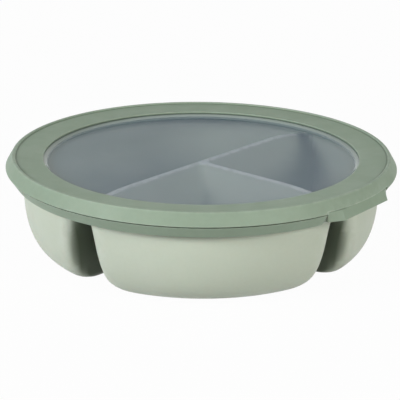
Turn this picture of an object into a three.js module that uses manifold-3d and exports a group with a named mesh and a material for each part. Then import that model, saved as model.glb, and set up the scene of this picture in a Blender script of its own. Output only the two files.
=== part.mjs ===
// Round lunch bowl with three compartments and a press-on lid.
// Millimetres, +Z up. The origin is on the bowl's axis, in the plane the bowl stands on.
// +Y points to the back, so the lid's pull tab is at the front right.
import * as THREE from "three";
import { mergeVertices } from "three/addons/utils/BufferGeometryUtils.js";
import Module from "manifold-3d";

const wasm = await Module();
wasm.setup();

// Bowl: outer wall, floor and rim
const WALL_RADIUS = 94.4;
const WALL = 1.8;
const FLOOR = 2;
const BASE_CURVE_WIDTH = 24.4;
const CURVE_TOP = 38;
const CURVE_POWER = 2.6;
const RIM_HEIGHT = 11.6;
const RIM_BAND_STEP = 0.6;
const RIM_FLANGE_OVERHANG = 2;
const RIM_FLANGE_THICKNESS = 2.6;
const EDGE_ROUND = 0.4;

// Bowl: hollow dividers between the compartments
const DIVIDER_ANGLE = 49.3;
const SHORT_DIVIDER_TURN = 90;
const CREST_BELOW_RIM = 2;
const CREST_DROP = 4.8;
const CREST_LEVEL_SHARE = 0.6;
const CREST_FLAT = 0.3;
const DIVIDER_HALF_WIDTH = 9;
const DIVIDER_DEPTH = 40;
const SIDE_CORNER_ROUND = 6.5;
const SIDE_FOOT_ROUND = 3.4;
const FRONT_CORNER_ROUND = 12.5;
const FRONT_FOOT_ROUND = 9;
const CENTRE_ROUND = 6;

// Lid frame: ring, skirt and gripping lip
const SKIRT_OVERHANG = 6.5;
const SKIRT_LEAN = 3.5;
const SKIRT_BELOW_RIM = 2.6;
const SKIRT_WALL = 2.4;
const SEAM_DEPTH = 0.7;
const LIP_HEIGHT = 6.6;
const LIP_LEDGE = 0.7;
const LIP_WALL = 1.4;
const BEAD_WIDTH = 1.4;
const BEAD_STEP = 0.8;
const RING_DISH = 1;
const RING_WALL = 1;
const PLUG_DEPTH = 2;
const PLUG_WALL = 1.2;

// Lid window and seal
const PANE = 1.1;
const WINDOW_FLANGE = 8;
const BEVEL_WIDTH = 2;
const BEVEL_DEPTH = 1.3;
const SEAL_HEIGHT = 1.1;
const SEAL_BEAD = 0.5;

// Pull tab at the front right
const TAB_ANGLE = -37.6;
const TAB_FACE_HALF_ANGLE = 10.6;
const TAB_LEFT_RAMP_ANGLE = 5.2;
const TAB_RIGHT_RAMP_ANGLE = 2.6;
const TAB_OVERHANG = 2.2;
const TAB_FLARE = 2.4;
const TAB_HEIGHT = 5.2;
const TAB_ROOT_RISE = 0.8;
const TAB_WALL = 1.7;

// Clearances
const SEAT_GAP = 0.3;
const LIP_CLEARANCE = 0.4;
const PLUG_CLEARANCE = 0.4;
const CREST_CLEARANCE = 0.4;

// Facets
const TURN_STEPS = 60;
const ARC_STEP = 9;
const CORNER_STEPS = 5;
const SIDE_STEPS = 6;
const SLAB_STEPS = 4;
const SEARCH_STEPS = 40;
const SEARCH_CLOSENESS = 1e-4;
const SEARCH_START_SHARE = 0.45;
const WALL_LEVEL_SHARES = [0, 0.006, 0.027, 0.06, 0.11, 0.2, 0.33, 0.5, 0.7];
const CREST_LEVEL_SHARES = [0.25, 0.13, 0.055, 0.02];

// Radii that follow from the sizes above
const BORE_RADIUS = WALL_RADIUS - WALL;
const RIM_RADIUS = WALL_RADIUS + RIM_BAND_STEP;
const RIM_BORE_RADIUS = BORE_RADIUS + RIM_BAND_STEP;
const FLANGE_RADIUS = RIM_RADIUS + RIM_FLANGE_OVERHANG;
const PLUG_RADIUS = RIM_BORE_RADIUS - PLUG_CLEARANCE;
const PLUG_BORE_RADIUS = PLUG_RADIUS - PLUG_WALL;
const WINDOW_RADIUS = PLUG_BORE_RADIUS - WINDOW_FLANGE;
const LIP_BORE_RADIUS = FLANGE_RADIUS + LIP_CLEARANCE;
const LIP_RADIUS = LIP_BORE_RADIUS + LIP_WALL;
const SKIRT_RADIUS = FLANGE_RADIUS + SKIRT_OVERHANG;
const LEDGE_RADIUS = SKIRT_RADIUS - LIP_LEDGE;
const SKIRT_TOP_RADIUS = SKIRT_RADIUS - SKIRT_LEAN;
const TAB_FACE_RADIUS = SKIRT_RADIUS + TAB_OVERHANG;
const CREST_DROP_START = BORE_RADIUS * CREST_LEVEL_SHARE;

// The tab's ends, as turns from its middle
const TAB_LEFT_END = -TAB_FACE_HALF_ANGLE - TAB_LEFT_RAMP_ANGLE;
const TAB_RIGHT_END = TAB_FACE_HALF_ANGLE + TAB_RIGHT_RAMP_ANGLE;

// Heights that follow from the sizes above
const RIM_TOP = CURVE_TOP + RIM_HEIGHT;
const CREST_TOP = RIM_TOP - CREST_BELOW_RIM;
const PANE_BOTTOM = CREST_TOP + CREST_CLEARANCE;
const PANE_TOP = PANE_BOTTOM + PANE;
const POCKET_TOP = PANE_TOP + BEVEL_DEPTH + SEAT_GAP;
const WINDOW_EDGE_TOP = POCKET_TOP + RING_WALL;
const RING_TOP = WINDOW_EDGE_TOP + RING_DISH;
const LID_TOP = RING_TOP + BEAD_STEP;
const SEAL_POCKET_TOP = RIM_TOP + 2 * SEAT_GAP + SEAL_HEIGHT;
const SKIRT_BOTTOM = RIM_TOP - SKIRT_BELOW_RIM;
const LEDGE_BOTTOM = SKIRT_BOTTOM - LIP_LEDGE;
const LIP_BOTTOM = SKIRT_BOTTOM - LIP_HEIGHT;
const TAB_ROOT = SKIRT_BOTTOM + TAB_ROOT_RISE;
const TAB_BOTTOM = TAB_ROOT - TAB_HEIGHT;

const radians = THREE.MathUtils.degToRad;

// A closed geometry as a solid for joining and cutting.
function solid(geometry) {
  const bare = geometry.clone();
  bare.deleteAttribute("normal");
  bare.deleteAttribute("uv");
  const merged = mergeVertices(bare, SEARCH_CLOSENESS);
  return new wasm.Manifold(
    new wasm.Mesh({
      numProp: 3,
      vertProperties: new Float32Array(merged.attributes.position.array),
      triVerts: new Uint32Array(merged.index.array),
    }),
  );
}

// A solid back as a geometry with flat facets.
function geometryOf(body) {
  const mesh = body.getMesh();
  const geometry = new THREE.BufferGeometry();
  geometry.setAttribute("position", new THREE.BufferAttribute(mesh.vertProperties, 3));
  geometry.setIndex(new THREE.BufferAttribute(mesh.triVerts, 1));
  geometry.computeVertexNormals();
  return geometry;
}

// A ring or disc turned about +Z from a closed [radius, height] outline, counter-clockwise.
function turned(outline) {
  const points = [...outline, outline[0]].map(([radius, height]) => new THREE.Vector2(radius, height));
  const geometry = new THREE.LatheGeometry(points, TURN_STEPS);
  geometry.rotateX(Math.PI / 2);
  return solid(geometry);
}

// A body skinned over rings of equally many [x, y, z] points, lowest first, counter-clockwise.
function lofted(rings) {
  const count = rings[0].length;
  const positions = rings.flat(2);
  const faces = [];
  for (let ring = 0; ring + 1 < rings.length; ring++) {
    for (let step = 0; step < count; step++) {
      const a = ring * count + step;
      const b = ring * count + ((step + 1) % count);
      faces.push(a, b, a + count);
      faces.push(b, b + count, a + count);
    }
  }
  const last = (rings.length - 1) * count;
  const lid = rings.at(-1).map(([x, y]) => new THREE.Vector2(x, y));
  const floor = rings[0].map(([x, y]) => new THREE.Vector2(x, y));
  for (const [a, b, c] of THREE.ShapeUtils.triangulateShape(lid, [])) {
    faces.push(last + a, last + b, last + c);
  }
  for (const [a, b, c] of THREE.ShapeUtils.triangulateShape(floor, [])) {
    faces.push(a, c, b);
  }
  const geometry = new THREE.BufferGeometry();
  geometry.setAttribute("position", new THREE.Float32BufferAttribute(positions, 3));
  geometry.setIndex(faces);
  return solid(geometry);
}

// Height of the dividers' crest at a distance from the axis: level, then falling towards the wall.
function crestAt(reach) {
  const share = Math.max(0, reach - CREST_DROP_START) / (BORE_RADIUS - CREST_DROP_START);
  return CREST_TOP - CREST_DROP * share * share;
}

// The larger of two signed distances, with the edge between them rounded.
function roundedEdge(a, b, round) {
  const past = Math.hypot(Math.max(a + round, 0), Math.max(b + round, 0));
  return Math.min(Math.max(a, b), -round) + past;
}

// One compartment between two dividers. The same outline gives the space inside and,
// grown by the wall, the leg that holds it.
class Compartment {
  constructor({ fromAngle, toAngle, corner, foot }, grown) {
    this.from = radians(fromAngle);
    this.span = radians((toAngle - fromAngle + 360) % 360);
    this.floor = grown ? 0 : FLOOR;
    this.wall = grown ? WALL_RADIUS : BORE_RADIUS;
    this.base = this.wall - BASE_CURVE_WIDTH;
    this.roof = grown ? WALL : 0;
    this.dividerHalf = DIVIDER_HALF_WIDTH - (grown ? WALL : 0);
    this.dividerDepth = DIVIDER_DEPTH - (grown ? WALL : 0);
    this.corner = corner - (grown ? 0 : WALL);
    this.centre = CENTRE_ROUND - (grown ? 0 : WALL);
    this.foot = foot - (grown ? 0 : WALL);
  }

  // Outer radius at a height: upright above, curving in to the base.
  radiusAt(height) {
    const share = (CURVE_TOP - height) / (CURVE_TOP - this.floor);
    const fall = Math.min(Math.max(share, 0), 1) ** CURVE_POWER;
    return this.base + (this.wall - this.base) * (1 - fall) ** (1 / CURVE_POWER);
  }

  // Half the divider's width at a depth below its crest: half an ellipse on upright sides, cut
  // flat at the top.
  halfWidthAt(depth) {
    const below = Math.min(Math.max(depth, CREST_FLAT), this.dividerDepth);
    const share = 1 - below / this.dividerDepth;
    return this.dividerHalf * Math.sqrt(1 - share * share);
  }

  // Signed distance to the outline at a height, below zero inside.
  outside(x, y, height) {
    const reach = Math.hypot(x, y);
    const halfWidth = this.halfWidthAt(crestAt(reach) - this.roof - height);
    const to = this.from + this.span;
    const first = halfWidth - (y * Math.cos(this.from) - x * Math.sin(this.from));
    const second = halfWidth - (x * Math.sin(to) - y * Math.cos(to));
    const half = this.span > 0.75 * Math.PI;
    const side = half ? Math.max(first, second) : roundedEdge(first, second, this.centre);
    return roundedEdge(reach - this.radiusAt(height), side + this.footInset(height), this.corner);
  }

  // How far the rounded foot sets the sides in at a height.
  footInset(height) {
    const below = Math.min(Math.max(this.foot - (height - this.floor), 0), this.foot);
    return this.foot - Math.sqrt(this.foot ** 2 - below ** 2);
  }

  // Where the outline's points are looked for: along rays from the middle to the plain sector's outline.
  rays() {
    const middle = this.from + this.span / 2;
    const start = new THREE.Vector2(Math.cos(middle), Math.sin(middle));
    start.multiplyScalar(this.wall * SEARCH_START_SHARE);
    const cornerTurn = (2 * this.corner) / this.wall;
    const arcSteps = Math.round((this.span - 2 * cornerTurn) / radians(ARC_STEP));
    const targets = [];
    const side = (angle, outwards) => {
      for (let step = 0; step < SIDE_STEPS; step++) {
        const share = outwards ? step / SIDE_STEPS : 1 - step / SIDE_STEPS;
        targets.push([angle, share * (this.wall - 2 * this.corner)]);
      }
    };
    const corner = (angle, entering) => {
      for (let step = 0; step < CORNER_STEPS; step++) {
        const share = step / CORNER_STEPS;
        const alongSide = entering ? 1 - 2 * share : 2 * share - 1;
        const inwards = Math.max(alongSide, 0) * 2 * this.corner;
        const turn = Math.max(-alongSide, 0) * cornerTurn * (entering ? 1 : -1);
        targets.push([angle + turn, this.wall - inwards]);
      }
    };
    side(this.from, true);
    corner(this.from, true);
    for (let step = 0; step < arcSteps; step++) {
      const turn = cornerTurn + ((this.span - 2 * cornerTurn) * step) / arcSteps;
      targets.push([this.from + turn, this.wall]);
    }
    corner(this.from + this.span, false);
    side(this.from + this.span, false);
    return targets.map(([angle, reach]) => {
      const target = new THREE.Vector2(Math.cos(angle), Math.sin(angle)).multiplyScalar(reach);
      return { start, way: target.sub(start).normalize() };
    });
  }

  // The outline's points on one level, which is a height or a depth below the crest.
  ring(rays, levelAt) {
    return rays.map(({ start, way }) => {
      let inside = 0;
      let outside = 2 * this.wall;
      for (let halving = 0; halving < SEARCH_STEPS; halving++) {
        const middle = (inside + outside) / 2;
        const x = start.x + way.x * middle;
        const y = start.y + way.y * middle;
        if (this.outside(x, y, levelAt(Math.hypot(x, y))) > SEARCH_CLOSENESS) {
          outside = middle;
        } else {
          inside = middle;
        }
      }
      const x = start.x + way.x * inside;
      const y = start.y + way.y * inside;
      return [x, y, levelAt(Math.hypot(x, y))];
    });
  }

  // The compartment as a body: levels close together at the foot and at the crest.
  body() {
    const rays = this.rays();
    const heights = WALL_LEVEL_SHARES.map((share) => share * (CURVE_TOP - this.floor));
    const depths = CREST_LEVEL_SHARES.map((share) => share * this.dividerDepth);
    depths.push(CREST_FLAT);
    const levels = heights.map((height) => () => this.floor + height);
    levels.push(...depths.map((depth) => (reach) => crestAt(reach) - this.roof - depth));
    levels.push(() => RIM_TOP - CREST_BELOW_RIM / 2);
    return lofted(levels.map((levelAt) => this.ring(rays, levelAt)));
  }
}

// A round slab that follows the dividers' crest, from one height to another above it.
function crestSlab(radius, from, to) {
  const reaches = [0, CREST_DROP_START];
  for (let step = 1; step <= SLAB_STEPS; step++) {
    reaches.push(CREST_DROP_START + ((radius - CREST_DROP_START) * step) / SLAB_STEPS);
  }
  const under = reaches.map((reach) => [reach, crestAt(reach) + from]);
  const over = reaches.map((reach) => [reach, crestAt(reach) + to]);
  return turned([...under, ...over.reverse()]);
}

// The rim: a thickened band with an outward flange, solid until the spaces are cut.
function rimRing() {
  const flangeBottom = RIM_TOP - RIM_FLANGE_THICKNESS;
  return turned([
    [BORE_RADIUS - WALL, CURVE_TOP + RIM_BAND_STEP],
    [WALL_RADIUS - EDGE_ROUND, CURVE_TOP + RIM_BAND_STEP],
    [RIM_RADIUS, CURVE_TOP + RIM_BAND_STEP + EDGE_ROUND],
    [RIM_RADIUS, flangeBottom - EDGE_ROUND],
    [FLANGE_RADIUS - EDGE_ROUND, flangeBottom],
    [FLANGE_RADIUS, flangeBottom + EDGE_ROUND],
    [FLANGE_RADIUS, RIM_TOP - EDGE_ROUND],
    [FLANGE_RADIUS - EDGE_ROUND, RIM_TOP],
    [BORE_RADIUS - WALL, RIM_TOP],
  ]);
}

// The bowl in one moulding: three legs under one rim, hollow dividers between them.
function bowl() {
  const far = DIVIDER_ANGLE + 180;
  const short = far + SHORT_DIVIDER_TURN;
  const side = { corner: SIDE_CORNER_ROUND, foot: SIDE_FOOT_ROUND };
  const front = { corner: FRONT_CORNER_ROUND, foot: FRONT_FOOT_ROUND };
  const compartments = [
    { fromAngle: DIVIDER_ANGLE, toAngle: far, ...side },
    { fromAngle: far, toAngle: short, ...front },
    { fromAngle: short, toAngle: DIVIDER_ANGLE, ...side },
  ];
  const legs = compartments.map((sizes) => new Compartment(sizes, true).body());
  const spaces = compartments.map((sizes) => new Compartment(sizes, false).body());
  const roof = crestSlab(BORE_RADIUS - WALL / 2, -WALL - CREST_FLAT / 2, CREST_CLEARANCE);
  const headroom = crestSlab(RIM_BORE_RADIUS, -CREST_FLAT / 2, RIM_TOP);
  let body = rimRing().add(roof);
  for (const leg of legs) {
    body = body.add(leg);
  }
  for (const space of spaces) {
    body = body.subtract(space);
  }
  return geometryOf(body.subtract(headroom));
}

// The space that the pull tab takes out of the skirt and the lip.
function tabOpening() {
  const gap = SEAT_GAP / LIP_RADIUS;
  const left = radians(TAB_LEFT_END) - gap;
  const right = radians(TAB_RIGHT_END) + gap;
  const far = 2 * SKIRT_RADIUS;
  const below = LIP_BOTTOM - SKIRT_WALL;
  const shape = new THREE.Shape();
  shape.absarc(0, 0, FLANGE_RADIUS, right, left, true);
  shape.lineTo(far * Math.cos(left), far * Math.sin(left));
  shape.lineTo(far * Math.cos(right), far * Math.sin(right));
  const depth = TAB_ROOT + SEAT_GAP - below;
  const geometry = new THREE.ExtrudeGeometry(shape, { depth, bevelEnabled: false });
  geometry.translate(0, 0, below);
  geometry.rotateZ(radians(TAB_ANGLE));
  return solid(geometry);
}

// The lid's frame: a dished ring inside a raised bead, a flared skirt, a lip that grips below
// the rim, and a plug that centres the lid in the bowl's mouth.
function lidFrame() {
  const plugBottom = RIM_TOP - PLUG_DEPTH;
  const beadRadius = SKIRT_TOP_RADIUS - BEAD_WIDTH;
  const underRing = SEAL_POCKET_TOP - SEAL_BEAD;
  const body = turned([
    [WINDOW_RADIUS + EDGE_ROUND, POCKET_TOP],
    [PLUG_BORE_RADIUS, POCKET_TOP],
    [PLUG_BORE_RADIUS, plugBottom + EDGE_ROUND],
    [PLUG_BORE_RADIUS + EDGE_ROUND, plugBottom],
    [PLUG_RADIUS - EDGE_ROUND, plugBottom],
    [PLUG_RADIUS, plugBottom + EDGE_ROUND],
    [PLUG_RADIUS, SEAL_POCKET_TOP],
    [FLANGE_RADIUS, SEAL_POCKET_TOP],
    [FLANGE_RADIUS, underRing],
    [SKIRT_TOP_RADIUS - BEAD_WIDTH / 2, underRing],
    [SKIRT_RADIUS - SKIRT_WALL, SKIRT_BOTTOM],
    [LIP_BORE_RADIUS, LIP_BOTTOM + SKIRT_WALL / 2],
    [LIP_BORE_RADIUS, LIP_BOTTOM + EDGE_ROUND],
    [LIP_BORE_RADIUS + EDGE_ROUND, LIP_BOTTOM],
    [LIP_RADIUS - EDGE_ROUND, LIP_BOTTOM],
    [LIP_RADIUS, LIP_BOTTOM + EDGE_ROUND],
    [LEDGE_RADIUS, LEDGE_BOTTOM],
    [LEDGE_RADIUS - SEAM_DEPTH, LEDGE_BOTTOM],
    [LEDGE_RADIUS - SEAM_DEPTH, SKIRT_BOTTOM - EDGE_ROUND / 2],
    [SKIRT_RADIUS, SKIRT_BOTTOM + EDGE_ROUND / 2],
    [SKIRT_RADIUS - EDGE_ROUND / 2, SKIRT_BOTTOM + EDGE_ROUND],
    [SKIRT_TOP_RADIUS, LID_TOP - EDGE_ROUND],
    [SKIRT_TOP_RADIUS - EDGE_ROUND, LID_TOP],
    [beadRadius + EDGE_ROUND, LID_TOP],
    [beadRadius, RING_TOP],
    [WINDOW_RADIUS + EDGE_ROUND, WINDOW_EDGE_TOP],
    [WINDOW_RADIUS, WINDOW_EDGE_TOP - EDGE_ROUND],
    [WINDOW_RADIUS, POCKET_TOP + EDGE_ROUND],
  ]);
  return geometryOf(body.subtract(tabOpening()));
}

// The clear window: a flat pane sunk on a bevel below a flange that is held under the frame.
function lidWindow() {
  const flangeRadius = PLUG_BORE_RADIUS - SEAT_GAP;
  const bevelTop = WINDOW_RADIUS - SEAT_GAP;
  const outline = [
    [0, PANE_BOTTOM],
    [bevelTop - BEVEL_WIDTH, PANE_BOTTOM],
    [bevelTop, PANE_BOTTOM + BEVEL_DEPTH],
    [flangeRadius, PANE_BOTTOM + BEVEL_DEPTH],
    [flangeRadius, PANE_TOP + BEVEL_DEPTH],
    [bevelTop, PANE_TOP + BEVEL_DEPTH],
    [bevelTop - BEVEL_WIDTH, PANE_TOP],
    [0, PANE_TOP],
  ];
  return geometryOf(turned(outline));
}

// The soft seal: a flat ring in the frame's groove with a bead that meets the rim.
function lidSeal() {
  const inner = PLUG_RADIUS + SEAT_GAP;
  const outer = FLANGE_RADIUS - SEAT_GAP;
  const bottom = RIM_TOP + SEAT_GAP;
  const outline = [
    [inner, bottom + SEAL_BEAD],
    [inner + SEAL_BEAD, bottom],
    [outer - SEAL_BEAD, bottom],
    [outer, bottom + SEAL_BEAD],
    [outer, bottom + SEAL_HEIGHT],
    [inner, bottom + SEAL_HEIGHT],
  ];
  return geometryOf(turned(outline));
}

// The pull tab's outline at a height: a straight face between two ramps that start at the lip's top.
function tabOutline(height, inset) {
  const share = (TAB_ROOT - height) / TAB_HEIGHT;
  const face = TAB_FACE_RADIUS - TAB_FLARE * (1 - share);
  const outer = [
    [LEDGE_RADIUS, TAB_LEFT_END],
    [face, -TAB_FACE_HALF_ANGLE],
    [face, TAB_FACE_HALF_ANGLE],
    [LEDGE_RADIUS, TAB_RIGHT_END],
  ].map(([reach, turn]) => [reach - inset, turn]);
  const inner = outer.map(([reach, turn]) => [reach + 2 * inset - TAB_WALL, turn]).reverse();
  return [...outer, ...inner].map(([reach, turn]) => {
    const angle = radians(TAB_ANGLE + turn);
    return [reach * Math.cos(angle), reach * Math.sin(angle), height];
  });
}

// The pull tab: a flap that flares outwards from its root under the skirt.
function pullTab() {
  const body = lofted([
    tabOutline(TAB_BOTTOM, EDGE_ROUND),
    tabOutline(TAB_BOTTOM + EDGE_ROUND, 0),
    tabOutline(TAB_ROOT, 0),
  ]);
  return geometryOf(body);
}

const FINISH = {
  bowl: new THREE.MeshStandardMaterial({ color: 0xc0c8b9, roughness: 0.55, metalness: 0 }),
  lid: new THREE.MeshStandardMaterial({ color: 0x8fa38d, roughness: 0.6, metalness: 0 }),
  seal: new THREE.MeshStandardMaterial({ color: 0x8fa38d, roughness: 0.8, metalness: 0 }),
  window: new THREE.MeshStandardMaterial({
    color: 0xc9d2d8,
    roughness: 0.15,
    metalness: 0,
    transparent: true,
    opacity: 0.35,
  }),
};

// A named piece in its finish.
function piece(name, geometry, finish) {
  const mesh = new THREE.Mesh(geometry, finish);
  mesh.name = name;
  return mesh;
}

const lid = new THREE.Group();
lid.add(piece("lid_frame", lidFrame(), FINISH.lid));
lid.add(piece("lid_window", lidWindow(), FINISH.window));
lid.add(piece("lid_seal", lidSeal(), FINISH.seal));
lid.add(piece("pull_tab", pullTab(), FINISH.lid));

const part = new THREE.Group();
part.add(piece("bowl", bowl(), FINISH.bowl));
part.add(lid);

export default part;
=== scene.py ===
"""Dresses a lidded lunch bowl with three compartments, in metres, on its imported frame.

The bowl stands on z = 0 with its axis on the origin, +X to the right and +Y to the back.
Sizes in the classes are in millimetres and become metres when a mesh is made.
"""

import logging
import math
from collections.abc import Callable, Iterator
from contextlib import contextmanager
from dataclasses import dataclass, field
from enum import Enum

import bmesh
import bpy
import numpy as np
from mathutils import Matrix, Vector

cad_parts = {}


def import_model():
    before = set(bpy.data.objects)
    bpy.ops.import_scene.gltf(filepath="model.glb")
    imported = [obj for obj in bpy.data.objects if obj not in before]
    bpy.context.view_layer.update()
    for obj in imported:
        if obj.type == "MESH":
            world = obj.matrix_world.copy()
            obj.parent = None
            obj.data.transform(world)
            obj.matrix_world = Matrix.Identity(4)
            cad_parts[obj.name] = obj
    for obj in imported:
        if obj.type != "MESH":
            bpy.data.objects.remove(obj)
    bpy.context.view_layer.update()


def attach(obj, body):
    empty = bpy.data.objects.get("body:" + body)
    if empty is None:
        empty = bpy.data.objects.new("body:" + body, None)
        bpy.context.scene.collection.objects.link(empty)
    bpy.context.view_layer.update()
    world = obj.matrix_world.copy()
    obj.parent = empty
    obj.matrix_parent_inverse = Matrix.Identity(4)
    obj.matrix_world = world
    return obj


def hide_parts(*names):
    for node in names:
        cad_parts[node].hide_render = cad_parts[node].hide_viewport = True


LOG = logging.getLogger("lunch_bowl")
MM = 0.001
EDGE_ATTRIBUTE = "edge"
EDGE_SMOOTHING = 2
# Bend at which an edge gets all its pale tone: scuffing and painted highlight.
FULL_WEAR_AND_HIGHLIGHT_ANGLE = math.radians(30)
SHARP_ANGLE = math.radians(34)
TURN_STEPS = 240
ROUND_STEPS = 6
LONGEST_ROUND_SHARE = 0.45
SHORTEST_ROUND_MM = 1e-4
SAME_POINT_METRES = 1e-7
WELD_MM = 0.01
SLIVER_MM = 0.005
NOISE_LOW = 0.35
NOISE_HIGH = 0.65
GRAIN_DETAIL = 4.0
WIPE_WAVES = (60.0, 1400.0, 60.0)
PLASTIC_IOR = 1.49
SCATTER_MM = 1.5
WHITE = (1.0, 1.0, 1.0)

Triple = tuple[float, float, float]
Outline = list[tuple[float, float]]
EdgeRule = Callable[[np.ndarray], np.ndarray]
Mesh = bpy.types.Mesh
Piece = bpy.types.Object
Material = bpy.types.Material
Tree = bpy.types.NodeTree
Node = bpy.types.Node
Socket = bpy.types.NodeSocket
Source = Socket | float | Triple
Values = dict[str | int, Source]


class Joining(Enum):
    """How a second body acts on the first one."""

    ADD = "UNION"
    CUT = "DIFFERENCE"


class Slot(Enum):
    """The record's material slots."""

    BOWL = "bowl"
    LID = "lid"
    WINDOW = "window"
    SEAL = "seal"


class Body(Enum):
    """The frame's moving bodies."""

    BOWL = "bowl"
    LID = "lid"
    TAB = "tab"


class Kind(Enum):
    """Kinds of sockets on a shared effect."""

    VECTOR = "NodeSocketVector"
    COLOUR = "NodeSocketColor"
    VALUE = "NodeSocketFloat"


@dataclass(frozen=True)
class Roundings:
    """Radii of the moulded edges, in millimetres."""

    seam: float = 0.1
    fine: float = 0.2
    small: float = 0.3
    drip: float = 0.35
    ease: float = 0.4
    plug: float = 0.45
    soft: float = 0.5
    crown: float = 0.6
    bevel: float = 0.7
    hollow: float = 0.8


@dataclass(frozen=True)
class Noise:
    """A noise: its waves to the metre, its octaves, and the range that its middle is spread over."""

    waves: float
    detail: float
    low: float
    high: float


@dataclass(frozen=True)
class PlasticFinish:
    """A moulded plastic or rubber: its colours in linear light, a painted highlight and a painted shade among
    them, and the scale of its grain.
    """

    name: str
    base: Triple
    shade: Triple
    # Pale tone of convex edges: scuffing, and painted highlight on crests and lines.
    worn_and_highlight: Triple
    # Painted shade for grooves, seams and creases.
    painted_shade: Triple
    roughness: float
    grain_mm: float
    grain_depth: float
    # How much of the pale edge tone shows: scuffing and painted highlight.
    wear_and_painted_light: float
    coat: float
    subsurface: float
    shine: float


@dataclass(frozen=True)
class WindowFinish:
    """A clear pane: its tint, how much of it shows, how hazy it is, its frosted bevel and its fine marks."""

    name: str
    tint: Triple
    haze: Triple
    frost: Triple
    clear_alpha: float
    hazy_alpha: float
    frost_alpha: float
    roughness: float
    shine: float
    mark_mm: float
    mark_depth: float


@dataclass(frozen=True)
class Lamp:
    """A square lamp that faces the bowl: its place and side in metres, its power and its tint."""

    name: str
    place: Triple
    width: float
    watts: float
    colour: Triple = WHITE
    mirrored: bool = True


EDGES = Roundings()
TONE_CLOUDS = Noise(waves=34.0, detail=3.0, low=0.0, high=1.0)
FLECKS = Noise(waves=700.0, detail=2.0, low=0.992, high=1.008)
UNEVEN_GLOSS = Noise(waves=90.0, detail=3.0, low=-0.05, high=0.06)
PATCHY_WEAR_AND_HIGHLIGHT = Noise(waves=260.0, detail=4.0, low=0.35, high=1.0)
PANE_CLOUDS = Noise(waves=22.0, detail=4.0, low=0.0, high=1.0)
WIPE_MARKS = Noise(waves=1.0, detail=2.0, low=-0.03, high=0.05)
BOWL_FINISH = PlasticFinish(
    name="bowl_pale_sage",
    base=(0.500, 0.552, 0.462),
    shade=(0.486, 0.538, 0.448),
    # Pale edges are scuffing; on the dividers' crests they are a painted highlight. The next colour is painted
    # shade for the grooves.
    worn_and_highlight=(0.800, 0.830, 0.790),
    painted_shade=(0.150, 0.180, 0.130),
    roughness=0.46,
    grain_mm=0.45,
    grain_depth=0.015,
    wear_and_painted_light=0.90,
    coat=0.05,
    subsurface=0.06,
    shine=0.2,
)
LID_FINISH = PlasticFinish(
    name="lid_sage",
    base=(0.256, 0.332, 0.251),
    shade=(0.245, 0.318, 0.240),
    # Pale edges are mostly a painted highlight on the bead and the skirt's edges; the next colour is painted
    # shade for the seam and lines.
    worn_and_highlight=(0.580, 0.660, 0.580),
    painted_shade=(0.090, 0.120, 0.085),
    roughness=0.52,
    grain_mm=0.38,
    grain_depth=0.06,
    wear_and_painted_light=0.70,
    coat=0.0,
    subsurface=0.04,
    shine=0.25,
)
SEAL_FINISH = PlasticFinish(
    name="seal_soft_rubber",
    base=(0.330, 0.390, 0.320),
    shade=(0.290, 0.350, 0.280),
    worn_and_highlight=(0.400, 0.450, 0.390),
    painted_shade=(0.150, 0.180, 0.140),
    roughness=0.78,
    grain_mm=0.25,
    grain_depth=0.04,
    wear_and_painted_light=0.20,
    coat=0.0,
    subsurface=0.05,
    shine=0.2,
)
WINDOW_FINISH = WindowFinish(
    name="window_clear_smoke",
    tint=(0.130, 0.235, 0.370),
    haze=(0.180, 0.280, 0.400),
    frost=(0.370, 0.440, 0.410),
    clear_alpha=0.25,
    hazy_alpha=0.28,
    frost_alpha=0.70,
    roughness=0.12,
    shine=0.47,
    mark_mm=0.1,
    mark_depth=0.004,
)
LAMPS = (
    Lamp(name="key_left", place=(-1.22, -0.81, 0.68), width=0.6, watts=21.0, colour=(0.985, 0.995, 1.0)),
    Lamp(name="fill_right", place=(1.06, -1.01, 0.68), width=0.6, watts=14.5, colour=(1.0, 0.985, 0.93)),
    Lamp(name="back_low", place=(0.3, 1.5, 0.3), width=0.7, watts=8.0, mirrored=False),
)


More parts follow.
